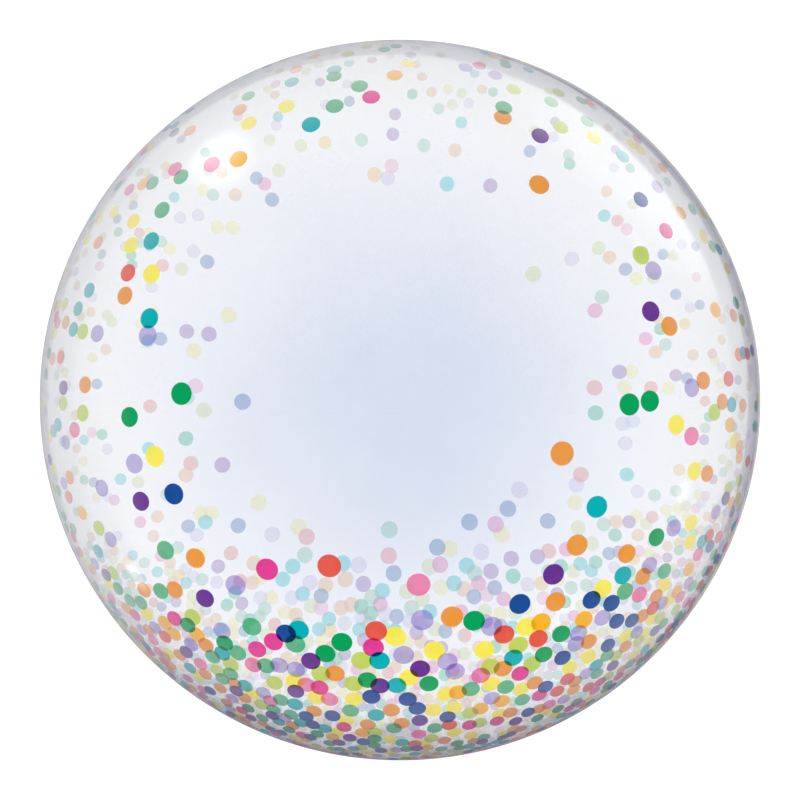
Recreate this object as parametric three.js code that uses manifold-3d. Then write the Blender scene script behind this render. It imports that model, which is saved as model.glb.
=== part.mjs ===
// A clear bubble balloon: a sealed ball of stretched film with a short flat filling tail.
// Millimetres, +Z up. The ball stands on a small flat spot centred on the origin, its
// front faces -Y, and the tail lies on the ground behind the flat spot, towards +Y.
import * as THREE from "three";
import { mergeVertices } from "three/addons/utils/BufferGeometryUtils.js";
import Module from "manifold-3d";

const wasm = await Module();
wasm.setup();

// The ball
const BALL_RADIUS = 280;
const FLAT_RADIUS = 30; // the flat spot that the ball stands on
const SIDES_AROUND = 72;
const STEPS_PER_QUARTER = 18; // between the bottom or top and the widest ring

// The tail that the ball is filled through, pressed flat and sealed
const TAIL_ROOT_Y = 16; // inside the flat spot, where the film gathers into the tail
const TAIL_NECK_Y = 66; // where the gathered film has narrowed to the tail's own width
const TAIL_END_Y = 128;
const TAIL_ROOT_WIDTH = 48;
const TAIL_WIDTH = 34;
const TAIL_CORNER = 6;
const TAIL_THICKNESS = 1.2;
const TAIL_CURVE_STEPS = 6;

const FILM = new THREE.MeshStandardMaterial({
  color: 0xe6eaf4,
  roughness: 0.08,
  metalness: 0,
  transparent: true,
  opacity: 0.3,
});

/** The height of the ball's centre, so that its cut-off cap leaves the flat spot at z = 0. */
function ballCentreZ() {
  return Math.sqrt(BALL_RADIUS ** 2 - FLAT_RADIUS ** 2);
}

/** The ball, turned about Z from half of its outline. */
function ballGeometry() {
  const centreZ = ballCentreZ();
  const flatEdge = -Math.acos(FLAT_RADIUS / BALL_RADIUS);
  const outline = new THREE.Path();
  outline.moveTo(0, 0);
  outline.lineTo(FLAT_RADIUS, 0);
  outline.absarc(0, centreZ, BALL_RADIUS, flatEdge, 0);
  outline.absarc(0, centreZ, BALL_RADIUS, 0, Math.PI / 2);
  const points = outline.getPoints(STEPS_PER_QUARTER / 2);
  points.at(-1).x = 0;
  return new THREE.LatheGeometry(points, SIDES_AROUND).rotateX(Math.PI / 2);
}

/** The tail, cut from a flat sheet: wide and curved at its root, with rounded end corners. */
function tailGeometry() {
  const half = TAIL_WIDTH / 2;
  const rootHalf = TAIL_ROOT_WIDTH / 2;
  const bendY = (TAIL_ROOT_Y + TAIL_NECK_Y) / 2;
  const sheet = new THREE.Shape();
  sheet.moveTo(-rootHalf, TAIL_ROOT_Y);
  sheet.lineTo(rootHalf, TAIL_ROOT_Y);
  sheet.quadraticCurveTo(half, bendY, half, TAIL_NECK_Y);
  sheet.lineTo(half, TAIL_END_Y - TAIL_CORNER);
  sheet.absarc(half - TAIL_CORNER, TAIL_END_Y - TAIL_CORNER, TAIL_CORNER, 0, Math.PI / 2);
  sheet.lineTo(TAIL_CORNER - half, TAIL_END_Y);
  sheet.absarc(TAIL_CORNER - half, TAIL_END_Y - TAIL_CORNER, TAIL_CORNER, Math.PI / 2, Math.PI);
  sheet.lineTo(-half, TAIL_NECK_Y);
  sheet.quadraticCurveTo(-half, bendY, -rootHalf, TAIL_ROOT_Y);
  return new THREE.ExtrudeGeometry(sheet, {
    depth: TAIL_THICKNESS,
    bevelEnabled: false,
    curveSegments: TAIL_CURVE_STEPS,
  });
}

/** A closed geometry as a solid that can be joined to another. */
function solidOf(geometry) {
  geometry.deleteAttribute("normal");
  geometry.deleteAttribute("uv");
  const merged = mergeVertices(geometry, 1e-3);
  const solid = new wasm.Mesh({
    numProp: 3,
    vertProperties: new Float32Array(merged.attributes.position.array),
    triVerts: new Uint32Array(merged.index.array),
  });
  return new wasm.Manifold(solid);
}

/** A solid as a geometry for a mesh. */
function geometryOf(solid) {
  const mesh = solid.getMesh();
  const geometry = new THREE.BufferGeometry();
  geometry.setAttribute("position", new THREE.BufferAttribute(mesh.vertProperties, 3));
  geometry.setIndex(new THREE.BufferAttribute(mesh.triVerts, 1));
  geometry.computeVertexNormals();
  return geometry;
}

/** The whole film: the ball and its tail are one piece. */
function balloon() {
  const film = solidOf(ballGeometry()).add(solidOf(tailGeometry()));
  const mesh = new THREE.Mesh(geometryOf(film), FILM);
  mesh.name = "balloon";
  return mesh;
}

const part = new THREE.Group();
part.add(balloon());

export default part;
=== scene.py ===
import math
import random

import bpy
import numpy
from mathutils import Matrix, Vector, kdtree


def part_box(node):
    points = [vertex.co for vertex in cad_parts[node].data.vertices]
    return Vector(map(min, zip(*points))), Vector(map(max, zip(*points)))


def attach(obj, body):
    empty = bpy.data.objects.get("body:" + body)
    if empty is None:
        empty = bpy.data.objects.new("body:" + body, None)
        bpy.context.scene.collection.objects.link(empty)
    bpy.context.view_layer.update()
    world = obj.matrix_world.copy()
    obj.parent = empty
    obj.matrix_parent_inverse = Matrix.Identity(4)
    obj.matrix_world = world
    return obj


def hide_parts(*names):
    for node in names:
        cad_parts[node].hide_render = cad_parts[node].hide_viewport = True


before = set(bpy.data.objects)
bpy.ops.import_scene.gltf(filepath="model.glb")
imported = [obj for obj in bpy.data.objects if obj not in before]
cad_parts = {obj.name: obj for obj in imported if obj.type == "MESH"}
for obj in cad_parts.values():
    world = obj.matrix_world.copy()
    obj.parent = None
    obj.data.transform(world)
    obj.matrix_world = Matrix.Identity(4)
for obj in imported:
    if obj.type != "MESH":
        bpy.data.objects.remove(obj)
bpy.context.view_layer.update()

LOW, HIGH = (Vector(corner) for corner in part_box("balloon"))

# The ball, in metres
RADIUS = (HIGH.x - LOW.x) / 2
MIDDLE = Vector((0, 0, HIGH.z - RADIUS))
BALL_SUBDIVISIONS = 7
FACE_REACH = 0.0036  # from the middle of a ball face past its furthest corner

# The tail, in metres behind the ball's middle
TAIL_ROOT = 0.033  # inside the ball, just past the flat spot
TAIL_NECK = 0.066  # where the gathered film has narrowed to the tail's own width
TAIL_END = 0.128
TAIL_ROOT_WIDTH, TAIL_WIDTH = 0.044, 0.034
TAIL_CORNER = 0.006
TAIL_FILM = 0.0002  # two layers of film, pressed flat
TAIL_LIE = 0.0006  # its height above the ground
TAIL_PLEAT = 0.0003  # how far its gathers rise and fall
TAIL_PLEATS = 4
TAIL_ROWS, TAIL_COLUMNS = 64, 32
SMOOTH_ANGLE = 40  # degrees between two faces that still look like one

# The confetti
SEED = 157
DOT_RADIUS = 0.0086  # lengthwise, where the film is drawn out evenly
SIDEWAYS_SHRINK = 2.6  # how fast the film's sideways stretch falls towards its side seam
NARROWEST_DOT = 0.5  # the least width of a dot for its length, beside the seam
SMALLEST_ANGLE = 0.001  # radians, so that nothing is divided by zero
DOT_EDGE = 0.00025  # half the width of a dot's soft printed edge
CLOSEST_DOTS = 0.0114  # between the middles of two dots, lengthwise
DRIFT_DOTS = 9000  # dots per square metre of front film, before the crowded ones are left out
DOT_TRIES = (math.pi / 2) ** SIDEWAYS_SHRINK  # for each of them, ample where dots are narrow
MOST_DOTS = 12000  # room in the lists of dots
MOST_PASSES = 5  # a dot that would need one more is left out
DRIFT_TOP, DRIFT_FULL = -25, -42.5  # latitudes where the drift starts and where it is full
DRIFT_RISE = 11  # degrees that the drift climbs at the sides
DRIFT_TILT = 5  # degrees that it climbs from the middle to the right side
SIDE_SHARE, TOP_SHARE = 0.12, 0.06  # of the drift's dots, above the drift and at the top
WINDOW_LATITUDE = 8.5  # the middles of the clear windows in the front and the back
WINDOW_CLEAR, WINDOW_EDGE = 22, 55  # degrees from a window's middle to its first dots, to all
INKS = (  # colour, and how many of every hundred dots have it
    ((0.75, 0.117, 0.085), 4),  # red
    ((0.72, 0.06, 0.29), 5),  # magenta
    ((0.78, 0.31, 0.065), 12),  # orange
    ((0.87, 0.43, 0.025), 5),  # amber
    ((0.90, 0.79, 0.12), 13),  # yellow
    ((0.0, 0.33, 0.095), 8),  # green
    ((0.0, 0.40, 0.43), 7),  # teal
    ((0.012, 0.07, 0.29), 6),  # navy
    ((0.14, 0.04, 0.27), 6),  # purple
    ((0.82, 0.28, 0.44), 5),  # pink
    ((0.53, 0.64, 0.15), 9),  # lime
    ((0.14, 0.46, 0.25), 9),  # light green
    ((0.54, 0.48, 0.72), 11),  # lilac
)
INSIDE_COVER = 0.65  # how much of an ink shows from inside, lit from behind
INSIDE_LIGHT = 1.25  # how much brighter it is there, to make up for the film's shade

# The film
FILM_COVERAGE = 0.28  # how much of what is behind one layer of film its haze veils
HAZE_CHANGE = 0.03  # how much the coverage rises and falls over the ball
HAZE_PATCHES = 9  # patches of haze per metre
# The haze's colour. Painted shade: a blue-lavender shade in both windows stands in for the dim side
# behind the camera reflected there, fading to near-white haze at the sides.
WINDOW_PAINTED_SHADE = (0.30, 0.43, 0.73, 1)
SIDE_HAZE_COLOUR = (0.95, 0.95, 0.96, 1)
PAINTED_SHADE_REACH = 1.1 * RADIUS  # from the axis through both windows to where the painted shade has gone
FILM_GLOSS = 0.06, 1.0  # the share that clear film reflects, seen straight on and edge-on
GLOSS_RISE = 3.0  # how steeply it rises towards edge-on
INK_GLOSS = 0.005, 0.75  # the same for ink
INK_GLOSS_REACH = 0.3, 0.85  # where its rise starts and ends, from straight on to edge-on
SMOOTHEST, ROUGHEST = 0.05, 0.09
NOISE_LOW, NOISE_HIGH = 0.3, 0.7  # where nearly all of a noise's values lie
BODY_ROUGHNESS = 0.5  # of the haze and the ink, under the gloss
SMEARS = 27  # smoother and rougher smears per metre
RIPPLES = 22  # faint ripples per metre in the stretched film
RIPPLE_HEIGHT = 0.00006

# The picture
CAMERA_DISTANCE = 5.3 * RADIUS
BALL_SHARE = 0.901  # of the picture's width
SENSOR = 36
BACKDROP = 1.15
FLOOR_COLOUR = 0.2
FLOOR_SIZE = 80
FLOOR_GAP = 0.0001  # below the flat spot, so that the two don't show through each other

# What the film's gloss shows: the room, and the soft lamps and shades in front of it
ROOM = (0.82, 0.83, 0.87, 1)
LAMPS = (  # direction, angles from its middle to its edge and to full, stretch, colour
    ((0, -1, 0), 110, 20, 1, (0.25, 0.29, 0.36)),  # the dim side behind the camera
    ((0, 0.2, -0.98), 72, 40, 1, (0.52, 0.53, 0.60)),  # the dim side below
    ((0, 0.45, 0.89), 62, 20, 1, (1.1, 1.1, 1.12)),  # overhead light
    ((0.61, 0.50, 0.61), 30, 10, 1, (1.6, 1.6, 1.6)),  # softbox, to the right
    ((0.17, 0.98, 0), 46, 42, 1, (0.67, 0.67, 0.73)),  # grey backdrop
    ((0.26, 0.97, -0.01), 26, 24, 1, (0.27, 0.26, 0.36)),  # its darker right side
    ((0, 1, 0), 27, 18, 1, (0.66, 0.66, 0.72)),  # its lighter middle
    ((0, 0.80, -0.60), 36, 16, 1, (0.24, 0.24, 0.32)),  # dark strip under the backdrop
    ((-0.58, 0.24, 0.78), 8.5, 1, 2.3, (3, 3, 3)),  # spot, to the left
    ((0.93, 0.23, -0.30), 3, 1, 1.5, (1.8, 1.8, 1.8)),  # small lamp, low on the right
    ((-0.76, 0.41, -0.50), 4.5, 1, 1, (1.9, 1.9, 1.9)),  # small lamp, low on the left
)


def add_node(tree, kind, inputs=None, **settings):
    """A node with its settings, its inputs set to values or joined to other nodes."""
    made = tree.nodes.new(kind)
    for name, value in settings.items():
        setattr(made, name, value)
    for name, value in (inputs or {}).items():
        socket = made.inputs[name]
        if isinstance(value, bpy.types.NodeSocket):
            tree.links.new(value, socket)
        else:
            socket.default_value = value
    return made


def sum_node(tree, operation, *values):
    """The result of a Math node."""
    return add_node(tree, "ShaderNodeMath", dict(enumerate(values)), operation=operation).outputs[0]


def vector_node(tree, operation, *values):
    """A Vector Math node."""
    return add_node(tree, "ShaderNodeVectorMath", dict(enumerate(values)), operation=operation)


def mixed_colour(tree, factor, first, second, blend="MIX"):
    """The result of a Mix node for colours."""
    mix = add_node(tree, "ShaderNodeMix", data_type="RGBA", blend_type=blend)
    for socket, value in zip((mix.inputs[0], mix.inputs[6], mix.inputs[7]), (factor, first, second)):
        if isinstance(value, bpy.types.NodeSocket):
            tree.links.new(value, socket)
        else:
            socket.default_value = value
    return mix.outputs[2]


def mixed_value(tree, factor, first, second):
    """The result of a Mix node for values."""
    return add_node(tree, "ShaderNodeMix", {0: factor, 2: first, 3: second}).outputs[0]


def noise_node(tree, position, scale, detail):
    """The value of a Noise Texture node, which runs from 0 to 1."""
    inputs = {"Vector": position, "Scale": scale, "Detail": detail}
    return add_node(tree, "ShaderNodeTexNoise", inputs).outputs["Fac"]


def ranged(tree, value, low, high):
    """A noise's value, spread between low and high."""
    inputs = {"Value": value, "From Min": NOISE_LOW, "From Max": NOISE_HIGH}
    inputs |= {"To Min": low, "To Max": high}
    return add_node(tree, "ShaderNodeMapRange", inputs).outputs["Result"]


def eased(tree, value, start, end):
    """Rises smoothly from 0 at start to 1 at end."""
    inputs = {"Value": value, "From Min": start, "From Max": end}
    ramp = add_node(tree, "ShaderNodeMapRange", inputs, interpolation_type="SMOOTHSTEP")
    return ramp.outputs["Result"]


def new_group(name, inputs, outputs):
    """An empty node group with named inputs and outputs, and its two end nodes."""
    group = bpy.data.node_groups.new(name, "ShaderNodeTree")
    for label, kind in inputs.items():
        group.interface.new_socket(label, in_out="INPUT", socket_type=kind)
    for label, kind in outputs.items():
        group.interface.new_socket(label, in_out="OUTPUT", socket_type=kind)
    return group, group.nodes.new("NodeGroupInput"), group.nodes.new("NodeGroupOutput")


def add_group(tree, group, inputs):
    """A node group placed in a tree."""
    made = tree.nodes.new("ShaderNodeGroup")
    made.node_tree = group
    for name, value in inputs.items():
        if isinstance(value, bpy.types.NodeSocket):
            tree.links.new(value, made.inputs[name])
        else:
            made.inputs[name].default_value = value
    return made


def place_camera():
    """Level with the ball's middle, straight in front of one of its windows."""
    data = bpy.data.cameras.new("camera")
    data.sensor_width = SENSOR
    half_ball = math.asin(RADIUS / CAMERA_DISTANCE)
    data.lens = SENSOR * BALL_SHARE / 2 / math.tan(half_ball)
    camera = bpy.data.objects.new("camera", data)
    camera.location = MIDDLE - Vector((0, CAMERA_DISTANCE, 0))
    camera.rotation_euler = (math.radians(90), 0, 0)
    bpy.context.scene.collection.objects.link(camera)
    bpy.context.scene.camera = camera


def ease(value, start, end):
    """Rises smoothly from 0 at start to 1 at end, which may be the lower of the two."""
    share = min(max((value - start) / (end - start), 0), 1)
    return share * share * (3 - 2 * share)


def dot_share(direction):
    """How thick the confetti is in a direction from the ball's middle, from 0 to 1."""
    latitude = math.degrees(math.asin(direction.z))
    climb = DRIFT_RISE * direction.x**2 + DRIFT_TILT * direction.x
    drift = ease(latitude - climb, DRIFT_TOP, DRIFT_FULL)
    thin = SIDE_SHARE + (TOP_SHARE - SIDE_SHARE) * ease(latitude, DRIFT_TOP, 90)
    tilt = math.radians(WINDOW_LATITUDE)
    nearest_window = Vector((0, math.copysign(math.cos(tilt), direction.y), math.sin(tilt)))
    from_window = math.degrees(direction.angle(nearest_window))
    return (drift + (1 - drift) * thin) * ease(from_window, WINDOW_CLEAR, WINDOW_EDGE)


def dot_width(direction):
    """How wide a dot is drawn in a direction from the ball's middle, for its length.

    The film is two printed sheets, joined round the sides. Blown up, each is stretched
    evenly away from its middle, but less and less sideways towards the seam.
    """
    from_middle = max(math.acos(abs(direction.y)), SMALLEST_ANGLE)
    return max((math.sin(from_middle) / from_middle) ** SIDEWAYS_SHRINK, NARROWEST_DOT)


def scattered_dots():
    """Dots strewn over the ball: each one's middle, its narrow direction and its ink."""
    chance = random.Random(SEED)
    inks, shares = zip(*INKS)
    middles, narrows = numpy.zeros((2, MOST_DOTS, 3))
    dots = []
    for _ in range(round(DRIFT_DOTS * DOT_TRIES * 4 * math.pi * RADIUS**2)):
        height, turn = chance.uniform(-1, 1), chance.uniform(0, 2 * math.pi)
        ring = math.sqrt(1 - height * height)
        direction = Vector((ring * math.cos(turn), ring * math.sin(turn), height))
        width = dot_width(direction)
        stays = chance.random() < dot_share(direction) / (DOT_TRIES * width)
        ink = chance.choices(inks, shares)[0]
        if not stays:
            continue
        middle = MIDDLE + RADIUS * direction
        gaps = middles[: len(dots)] - numpy.array(middle)
        narrowed = (gaps**2).sum(1) + (gaps * narrows[: len(dots)]).sum(1) ** 2
        if (narrowed < CLOSEST_DOTS**2).any():
            continue
        sideways = Vector((0, 1, 0)).cross(direction).normalized()
        narrow = sideways * math.sqrt(1 / width**2 - 1)
        middles[len(dots)], narrows[len(dots)] = middle, narrow
        dots.append((middle, narrow, ink))
    return dots


def print_confetti(film, dots):
    """Lays the dots on the film's faces, in print passes that each put one dot on a face."""
    mesh = film.data
    tree = kdtree.KDTree(len(mesh.polygons))
    for face in mesh.polygons:
        tree.insert(face.center, face.index)
    tree.balance()
    taken = [0] * len(mesh.polygons)
    passes = []
    for middle, narrow, ink in dots:
        shrink = math.sqrt(1 + narrow.length_squared)
        half_width = DOT_RADIUS / shrink + FACE_REACH
        outside = math.sqrt((DOT_RADIUS + FACE_REACH) ** 2 / half_width**2 - 1)
        limit = narrow.normalized() * outside
        reached = []
        for centre, index, gap in tree.find_range(middle, DOT_RADIUS + FACE_REACH):
            if math.hypot(gap, (centre - middle).dot(limit)) < DOT_RADIUS + FACE_REACH:
                reached.append(index)
        number = 0
        while any(taken[index] >> number & 1 for index in reached):
            number += 1
        if number == MOST_PASSES:
            continue
        if number == len(passes):
            empty = numpy.tile(numpy.array([*MIDDLE, 0, 0, 0, 1, 1, 1]), (len(taken), 1))
            passes.append(empty)
        for index in reached:
            taken[index] |= 1 << number
            passes[number][index] = (*middle, *narrow, *ink)
    for number, laid in enumerate(passes):
        for name, values in zip(("middle", "narrow", "ink"), numpy.split(laid, 3, axis=1)):
            layer = mesh.attributes.new(f"pass_{number}_{name}", "FLOAT_VECTOR", "FACE")
            layer.data.foreach_set("vector", values.ravel())
    return len(passes)


def printed_dot_group():
    """One print pass: lays a dot of ink, round on the flat film, over the passes below it."""
    inputs = {"Print": "NodeSocketColor", "Position": "NodeSocketVector"}
    inputs |= {"Dot Middle": "NodeSocketVector", "Dot Narrow": "NodeSocketVector"}
    inputs |= {"Dot Ink": "NodeSocketColor"}
    group, given, result = new_group("printed_dot", inputs, {"Print": "NodeSocketColor"})
    gap = vector_node(group, "SUBTRACT", given.outputs["Position"], given.outputs["Dot Middle"])
    gap = gap.outputs["Vector"]
    squared = vector_node(group, "DOT_PRODUCT", gap, gap).outputs["Value"]
    across = vector_node(group, "DOT_PRODUCT", gap, given.outputs["Dot Narrow"]).outputs["Value"]
    stretched = sum_node(group, "ADD", squared, sum_node(group, "MULTIPLY", across, across))
    from_middle = sum_node(group, "SQRT", stretched)
    inside = eased(group, from_middle, DOT_RADIUS + DOT_EDGE, DOT_RADIUS - DOT_EDGE)
    over = mixed_colour(group, inside, given.outputs["Print"], given.outputs["Dot Ink"], "MULTIPLY")
    group.links.new(over, result.inputs["Print"])
    return group


def painted_window_shade_group():
    """The film's haze colour, with a faint painted shade: blue-lavender in both windows, gone towards
    the sides.
    """
    inputs = {"Position": "NodeSocketVector"}
    group, given, result = new_group("painted_window_shade", inputs, {"Tint": "NodeSocketColor"})
    from_middle = vector_node(group, "SUBTRACT", given.outputs["Position"], MIDDLE)
    across = vector_node(group, "MULTIPLY", from_middle.outputs["Vector"], (1, 0, 1))
    from_axis = vector_node(group, "LENGTH", across.outputs["Vector"])
    gone = eased(group, from_axis.outputs["Value"], 0, PAINTED_SHADE_REACH)
    group.links.new(mixed_colour(group, gone, WINDOW_PAINTED_SHADE, SIDE_HAZE_COLOUR), result.inputs["Tint"])
    return group


def film_haze_group():
    """How cloudy and how rough the film is from place to place, and its faint ripples."""
    inputs = {"Position": "NodeSocketVector"}
    outputs = {"Haze": "NodeSocketFloat", "Roughness": "NodeSocketFloat"}
    outputs |= {"Ripple": "NodeSocketFloat"}
    group, given, result = new_group("film_haze", inputs, outputs)
    patches = noise_node(group, given.outputs["Position"], HAZE_PATCHES, detail=3)
    low, high = FILM_COVERAGE - HAZE_CHANGE, FILM_COVERAGE + HAZE_CHANGE
    group.links.new(ranged(group, patches, low, high), result.inputs["Haze"])
    smears = noise_node(group, given.outputs["Position"], SMEARS, detail=4)
    group.links.new(ranged(group, smears, SMOOTHEST, ROUGHEST), result.inputs["Roughness"])
    ripples = noise_node(group, given.outputs["Position"], RIPPLES, detail=1)
    group.links.new(ripples, result.inputs["Ripple"])
    return group


def ink_on_film_group():
    """Parts a print into pure ink and how much it covers, and lays it over the film's haze.

    From outside an ink is seen through twice, there and back, but from inside only once.
    """
    inputs = {"Print": "NodeSocketColor", "Tint": "NodeSocketColor"}
    inputs |= {"Haze": "NodeSocketFloat", "Inside": "NodeSocketFloat"}
    outputs = {"Colour": "NodeSocketColor", "Coverage": "NodeSocketFloat"}
    outputs |= {"Ink Cover": "NodeSocketFloat"}
    group, given, result = new_group("ink_on_film", inputs, outputs)
    once = add_node(group, "ShaderNodeGamma", {"Color": given.outputs["Print"], "Gamma": 0.5})
    inner = mixed_colour(group, INSIDE_COVER, (1, 1, 1, 1), once.outputs["Color"])
    seen = mixed_colour(group, given.outputs["Inside"], given.outputs["Print"], inner)
    channels = add_node(group, "ShaderNodeSeparateColor", {"Color": seen}).outputs
    darker = sum_node(group, "MINIMUM", channels["Red"], channels["Green"])
    clear = sum_node(group, "MINIMUM", darker, channels["Blue"])
    pure = vector_node(group, "SUBTRACT", seen, clear).outputs["Vector"]
    light = mixed_value(group, given.outputs["Inside"], 1.0, INSIDE_LIGHT)
    ink = vector_node(group, "MULTIPLY", pure, light).outputs["Vector"]
    haze_cover = sum_node(group, "MULTIPLY", clear, given.outputs["Haze"])
    ink_cover = sum_node(group, "SUBTRACT", 1.0, clear)
    cover = sum_node(group, "ADD", ink_cover, haze_cover)
    # the haze's colour holds the painted shade of the windows
    haze = vector_node(group, "MULTIPLY", given.outputs["Tint"], haze_cover).outputs["Vector"]
    both = vector_node(group, "ADD", ink, haze).outputs["Vector"]
    colour = vector_node(group, "DIVIDE", both, cover).outputs["Vector"]
    group.links.new(colour, result.inputs["Colour"])
    group.links.new(cover, result.inputs["Coverage"])
    group.links.new(ink_cover, result.inputs["Ink Cover"])
    return group


def printed_film(passes):
    """Clear glossy film with a faint painted shade in its windows, printed with translucent dots."""
    material = bpy.data.materials.new("printed_film")
    material.use_nodes = True
    tree = material.node_tree
    tree.nodes.clear()
    position = add_node(tree, "ShaderNodeTexCoord").outputs["Object"]
    dot_group, painted_shade_group, ink_group = printed_dot_group(), painted_window_shade_group(), ink_on_film_group()
    printed = (1, 1, 1, 1)
    for number in range(passes):
        middle, narrow, ink = (
            add_node(tree, "ShaderNodeAttribute", attribute_name=f"pass_{number}_{name}").outputs
            for name in ("middle", "narrow", "ink")
        )
        inputs = {"Print": printed, "Position": position, "Dot Middle": middle["Vector"]}
        inputs |= {"Dot Narrow": narrow["Vector"], "Dot Ink": ink["Color"]}
        printed = add_group(tree, dot_group, inputs).outputs["Print"]
    # the haze's colour, with the painted blue-lavender shade in both windows
    shaded_haze = add_group(tree, painted_shade_group, {"Position": position}).outputs["Tint"]
    film = add_group(tree, film_haze_group(), {"Position": position}).outputs
    inside = add_node(tree, "ShaderNodeNewGeometry").outputs["Backfacing"]
    inputs = {"Print": printed, "Tint": shaded_haze, "Haze": film["Haze"], "Inside": inside}
    inked = add_group(tree, ink_group, inputs)
    ripple = add_node(tree, "ShaderNodeBump", {"Height": film["Ripple"], "Distance": RIPPLE_HEIGHT})
    body = add_node(tree, "ShaderNodeBsdfPrincipled", {
        "Base Color": inked.outputs["Colour"],
        "Alpha": inked.outputs["Coverage"],
        "Roughness": BODY_ROUGHNESS,
        "Specular IOR Level": 0.0,
    })
    inputs = {"Roughness": film["Roughness"], "Normal": ripple.outputs["Normal"]}
    gloss = add_node(tree, "ShaderNodeBsdfGlossy", inputs)
    facing = add_node(tree, "ShaderNodeLayerWeight", {"Blend": 0.5}).outputs["Facing"]
    edge_on = sum_node(tree, "POWER", facing, GLOSS_RISE)
    film_gloss = mixed_value(tree, edge_on, *FILM_GLOSS)
    ink_gloss = mixed_value(tree, eased(tree, facing, *INK_GLOSS_REACH), *INK_GLOSS)
    share = mixed_value(tree, inked.outputs["Ink Cover"], film_gloss, ink_gloss)
    surface = add_node(tree, "ShaderNodeMixShader", {0: share, 1: body.outputs[0], 2: gloss.outputs[0]})
    add_node(tree, "ShaderNodeOutputMaterial", {"Surface": surface.outputs[0]})
    return material


def blown_ball():
    """The ball, with the flat spot that it stands on."""
    bpy.ops.object.select_all(action="DESELECT")
    bpy.ops.mesh.primitive_ico_sphere_add(
        subdivisions=BALL_SUBDIVISIONS, radius=RADIUS, location=MIDDLE
    )
    ball = bpy.context.object
    bpy.ops.object.transform_apply(location=True, rotation=True, scale=True)
    for vertex in ball.data.vertices:
        vertex.select = vertex.co.z < 0
    for edge in ball.data.edges:
        edge.select = False
    for face in ball.data.polygons:
        face.select = False
    bpy.ops.object.mode_set(mode="EDIT")
    bpy.ops.mesh.select_mode(type="VERT")
    bpy.ops.transform.resize(value=(1, 1, 0), center_override=(0, 0, 0))
    bpy.ops.object.mode_set(mode="OBJECT")
    bpy.ops.object.shade_smooth()
    return ball


def tail_half_width(y):
    """Half the tail's width: curved in from its wide root, and rounded at its end corners."""
    gathered = max(0, (TAIL_NECK - y) / (TAIL_NECK - TAIL_ROOT))
    half = (TAIL_WIDTH + (TAIL_ROOT_WIDTH - TAIL_WIDTH) * gathered**2) / 2
    into_corner = min(max(0, y - (TAIL_END - TAIL_CORNER)), TAIL_CORNER)
    return half - TAIL_CORNER + math.sqrt(TAIL_CORNER**2 - into_corner**2)


def filling_tail():
    """The flat tail that the ball is filled through, gathered where it leaves the ball."""
    bpy.ops.object.select_all(action="DESELECT")
    bpy.ops.mesh.primitive_grid_add(
        x_subdivisions=TAIL_COLUMNS,
        y_subdivisions=TAIL_ROWS,
        size=1,
        location=(0, (TAIL_ROOT + TAIL_END) / 2, TAIL_LIE),
    )
    tail = bpy.context.object
    tail.scale = (TAIL_WIDTH, TAIL_END - TAIL_ROOT, 1)
    bpy.ops.object.transform_apply(location=True, rotation=True, scale=True)
    for vertex in tail.data.vertices:
        across = vertex.co.x / (TAIL_WIDTH / 2)
        fade = ease(vertex.co.y, TAIL_END, TAIL_ROOT)
        vertex.co.x = across * tail_half_width(vertex.co.y)
        vertex.co.z += TAIL_PLEAT * fade * math.cos(TAIL_PLEATS * math.pi * across)
    thickness = tail.modifiers.new("two_layers", "SOLIDIFY")
    thickness.thickness = TAIL_FILM
    thickness.offset = 0
    bpy.ops.object.modifier_apply(modifier=thickness.name)
    bpy.ops.object.shade_smooth_by_angle(angle=math.radians(SMOOTH_ANGLE))
    return tail


def join_tail(ball, tail):
    """Makes the ball and its tail one closed film."""
    bpy.ops.object.select_all(action="DESELECT")
    ball.select_set(True)
    bpy.context.view_layer.objects.active = ball
    union = ball.modifiers.new("tail", "BOOLEAN")
    union.operation = "UNION"
    union.object = tail
    union.solver = "EXACT"
    bpy.ops.object.modifier_apply(modifier=union.name)
    bpy.data.objects.remove(tail)


def white_floor():
    """A plain floor that runs on into the white backdrop."""
    bpy.ops.object.select_all(action="DESELECT")
    bpy.ops.mesh.primitive_plane_add(size=FLOOR_SIZE, location=(0, 0, -FLOOR_GAP))
    floor = bpy.context.object
    floor.name = "floor"
    material = bpy.data.materials.new("white_floor")
    material.use_nodes = True
    shader = material.node_tree.nodes["Principled BSDF"]
    shader.inputs["Base Color"].default_value = (FLOOR_COLOUR, FLOOR_COLOUR, FLOOR_COLOUR, 1)
    shader.inputs["Roughness"].default_value = 1
    shader.inputs["Specular IOR Level"].default_value = 0
    shader.inputs["Emission Color"].default_value = (1, 1, 1, 1)
    shader.inputs["Emission Strength"].default_value = BACKDROP - FLOOR_COLOUR
    floor.data.materials.append(material)
    floor.visible_glossy = False


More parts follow.
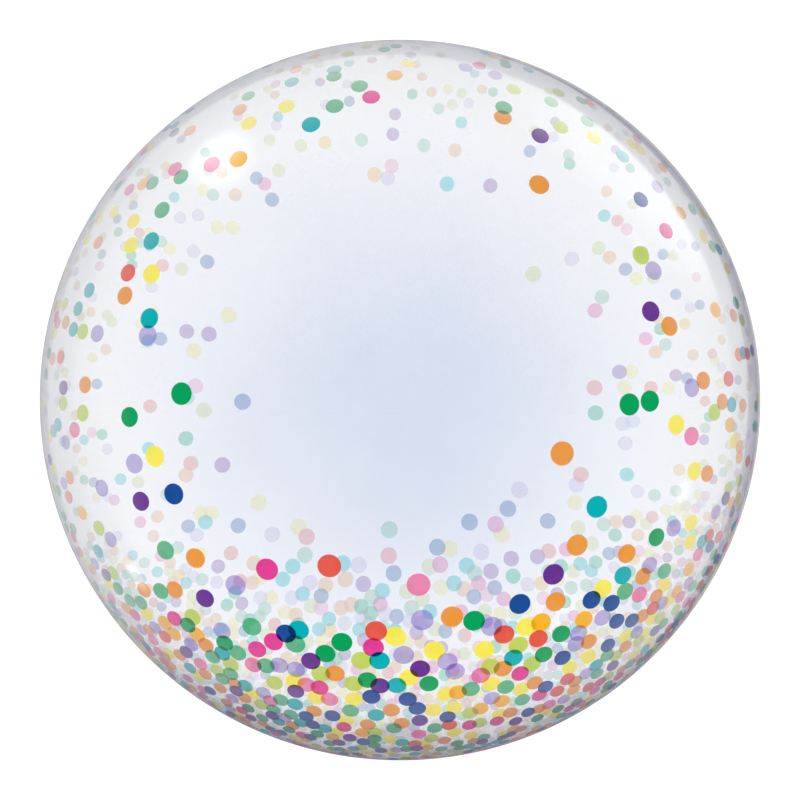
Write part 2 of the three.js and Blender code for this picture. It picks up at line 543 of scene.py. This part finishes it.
def lamp_group():
    """How bright a soft lamp is in a direction: 1 at its middle, 0 outside its edge."""
    inputs = {"Direction": "NodeSocketVector", "Towards": "NodeSocketVector"}
    inputs |= {"Along": "NodeSocketVector", "Edge": "NodeSocketFloat", "Full": "NodeSocketFloat"}
    group, given, result = new_group("soft_lamp", inputs, {"Brightness": "NodeSocketFloat"})
    gap = vector_node(group, "SUBTRACT", given.outputs["Direction"], given.outputs["Towards"])
    gap = gap.outputs["Vector"]
    squared = vector_node(group, "DOT_PRODUCT", gap, gap).outputs["Value"]
    along = vector_node(group, "DOT_PRODUCT", gap, given.outputs["Along"]).outputs["Value"]
    shortened = sum_node(group, "SUBTRACT", squared, sum_node(group, "MULTIPLY", along, along))
    distance = sum_node(group, "SQRT", shortened)
    bright = eased(group, distance, given.outputs["Edge"], given.outputs["Full"])
    group.links.new(bright, result.inputs["Brightness"])
    return group


def chord(angle):
    """How far apart two directions are that meet at an angle, in degrees."""
    return 2 * math.sin(math.radians(angle) / 2)


def studio_light():
    """Even white light, a white backdrop, and the soft lamps that show in the film's gloss."""
    world = bpy.data.worlds.new("studio")
    bpy.context.scene.world = world
    world.use_nodes = True
    world.cycles.sampling_method = "NONE"  # even light has no bright spots worth seeking out
    tree = world.node_tree
    tree.nodes.clear()
    direction = add_node(tree, "ShaderNodeTexCoord").outputs["Generated"]
    group = lamp_group()
    reflected = ROOM
    for towards, edge, full, stretch, colour in LAMPS:
        middle = Vector(towards).normalized()
        backwards = Vector((0, 1, 0)) - middle.y * middle
        along = backwards.normalized() * math.sqrt(1 - 1 / stretch**2)
        inputs = {"Direction": direction, "Towards": middle, "Along": along}
        inputs |= {"Edge": chord(edge), "Full": chord(full)}
        brightness = add_group(tree, group, inputs).outputs["Brightness"]
        reflected = mixed_colour(tree, brightness, reflected, (*colour, 1))
    path = add_node(tree, "ShaderNodeLightPath").outputs
    seen = mixed_colour(tree, path["Is Glossy Ray"], (1, 1, 1, 1), reflected)
    white = (BACKDROP, BACKDROP, BACKDROP, 1)
    seen = mixed_colour(tree, path["Is Camera Ray"], seen, white)
    background = add_node(tree, "ShaderNodeBackground", {"Color": seen})
    add_node(tree, "ShaderNodeOutputWorld", {"Surface": background.outputs[0]})


place_camera()
film = blown_ball()
film.name = "film"
join_tail(film, filling_tail())
passes = print_confetti(film, scattered_dots())
film.data.materials.clear()
film.data.materials.append(printed_film(passes))
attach(film, "root")
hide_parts("balloon")
white_floor()
studio_light()
bpy.context.scene.view_settings.view_transform = "Standard"
